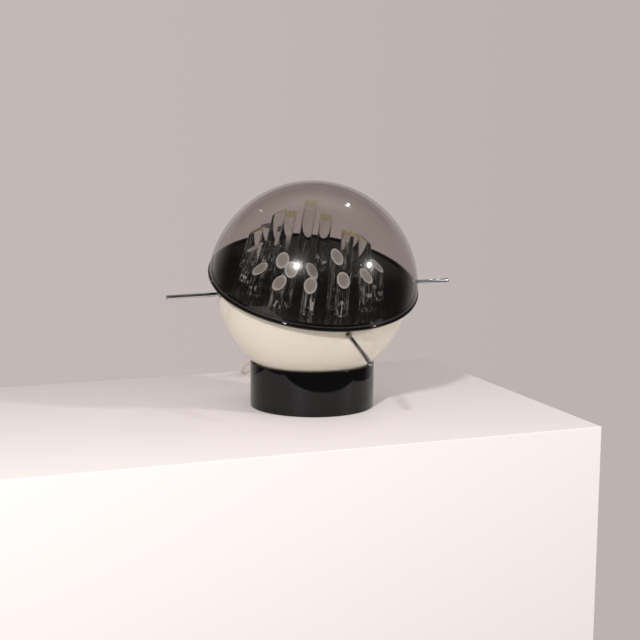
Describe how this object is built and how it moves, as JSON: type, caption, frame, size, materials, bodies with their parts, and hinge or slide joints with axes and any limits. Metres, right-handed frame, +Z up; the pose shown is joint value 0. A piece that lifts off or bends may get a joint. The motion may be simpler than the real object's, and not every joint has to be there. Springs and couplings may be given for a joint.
{
  "type": "globe table lamp",
  "caption": "Table lamp with a smoked dome over clear rods on a black dish, closing an ivory bowl that lies tilted in a black ring, with chromed rods below its rim and a corded switch and plug.",
  "frame": {"origin": "centre of the base plate's underside, on the table", "axes": "+Z up; the lamp as pictured looks towards -Y, with +X to the viewer's right"},
  "size_m": [0.4033, 0.4523, 0.3227],
  "materials": {
    "black_acrylic": "polished black acrylic",
    "ivory_acrylic": "polished opal ivory acrylic that lets a little light through",
    "smoked_acrylic": "polished clear acrylic with a light brown-grey smoke tint",
    "clear_acrylic": "polished clear acrylic with sawn, frosted slanted ends",
    "chrome": "mirror-bright chrome plate",
    "brass": "plain turned brass",
    "zinc_steel": "dull zinc plate",
    "black_phenolic": "moulded black, slightly shiny",
    "porcelain": "white porcelain, half glazed",
    "bulb_glass": "opal white glass",
    "cord_plastic": "soft clear yellowed plastic over copper strands",
    "white_plastic": "moulded off-white, half gloss"
  },
  "bodies": {
    "base": {"base_ring": "black_acrylic", "base_plate": "black_acrylic", "strain_relief": "cord_plastic", "inner_lead": "cord_plastic", "cord_to_switch": "cord_plastic", "cord_to_coil": "cord_plastic", "cord_coil": "cord_plastic", "cord_to_plug": "cord_plastic", "switch_lower_shell": "white_plastic", "switch_upper_shell": "white_plastic", "switch_screw": "zinc_steel", "plug_body": "white_plastic", "plug_pin_left": "chrome", "plug_pin_right": "chrome"},
    "globe_core": {"threaded_nipple": "zinc_steel", "pole_washer": "zinc_steel", "outer_pole_nut": "brass", "inner_pole_nut": "brass", "cord_gland": "white_plastic", "holder_lead": "cord_plastic", "holder_cap": "black_phenolic", "holder_shell": "black_phenolic", "holder_core": "porcelain", "screw_shell": "brass", "bulb_cap": "brass", "bulb_glass": "bulb_glass"},
    "globe_shell": {"ivory_bowl": "ivory_acrylic", "black_dish": "black_acrylic", "dish_skirt": "black_acrylic", "clear_rod_01": "clear_acrylic", "clear_rod_02": "clear_acrylic", "clear_rod_03": "clear_acrylic", "clear_rod_04": "clear_acrylic", "clear_rod_05": "clear_acrylic", "clear_rod_06": "clear_acrylic", "clear_rod_07": "clear_acrylic", "clear_rod_08": "clear_acrylic", "clear_rod_09": "clear_acrylic", "clear_rod_10": "clear_acrylic", "clear_rod_11": "clear_acrylic", "clear_rod_12": "clear_acrylic", "clear_rod_13": "clear_acrylic", "clear_rod_14": "clear_acrylic", "clear_rod_15": "clear_acrylic", "clear_rod_16": "clear_acrylic", "clear_rod_17": "clear_acrylic", "clear_rod_18": "clear_acrylic", "clear_rod_19": "clear_acrylic", "clear_rod_20": "clear_acrylic", "chrome_rod_right": "chrome", "rod_bush_right": "brass", "rod_nut_right": "brass", "chrome_rod_front": "chrome", "rod_bush_front": "brass", "rod_nut_front": "brass", "chrome_rod_left": "chrome", "rod_bush_left": "brass", "rod_nut_left": "brass"},
    "dome": {"smoked_dome": "smoked_acrylic"},
    "rocker": {"switch_rocker": "white_plastic"}
  },
  "joints": [
    {"name": "globe_tilt", "type": "hinge", "parent": "base", "child": "globe_core", "pos_m": [0, 0, 0.17272], "axis": [0.9385, 0.3453, 0], "range_deg": [-47.7, 8.3], "deforming": ["inner_lead"]},
    {"name": "globe_turn", "type": "hinge", "parent": "globe_core", "child": "globe_shell", "pos_m": [0, 0, 0.17272], "axis": [0.1164, -0.3164, 0.9415], "range_deg": [-180, 180]},
    {"name": "dome_lift", "type": "slide", "parent": "globe_shell", "child": "dome", "axis": [0.1164, -0.3164, 0.9415], "range_m": [0, 0.16]},
    {"name": "switch_rock", "type": "hinge", "parent": "base", "child": "rocker", "pos_m": [-0.02, 0.2505, 0.0146], "axis": [0, 1, 0], "range_deg": [-20, 0]}
  ]
}
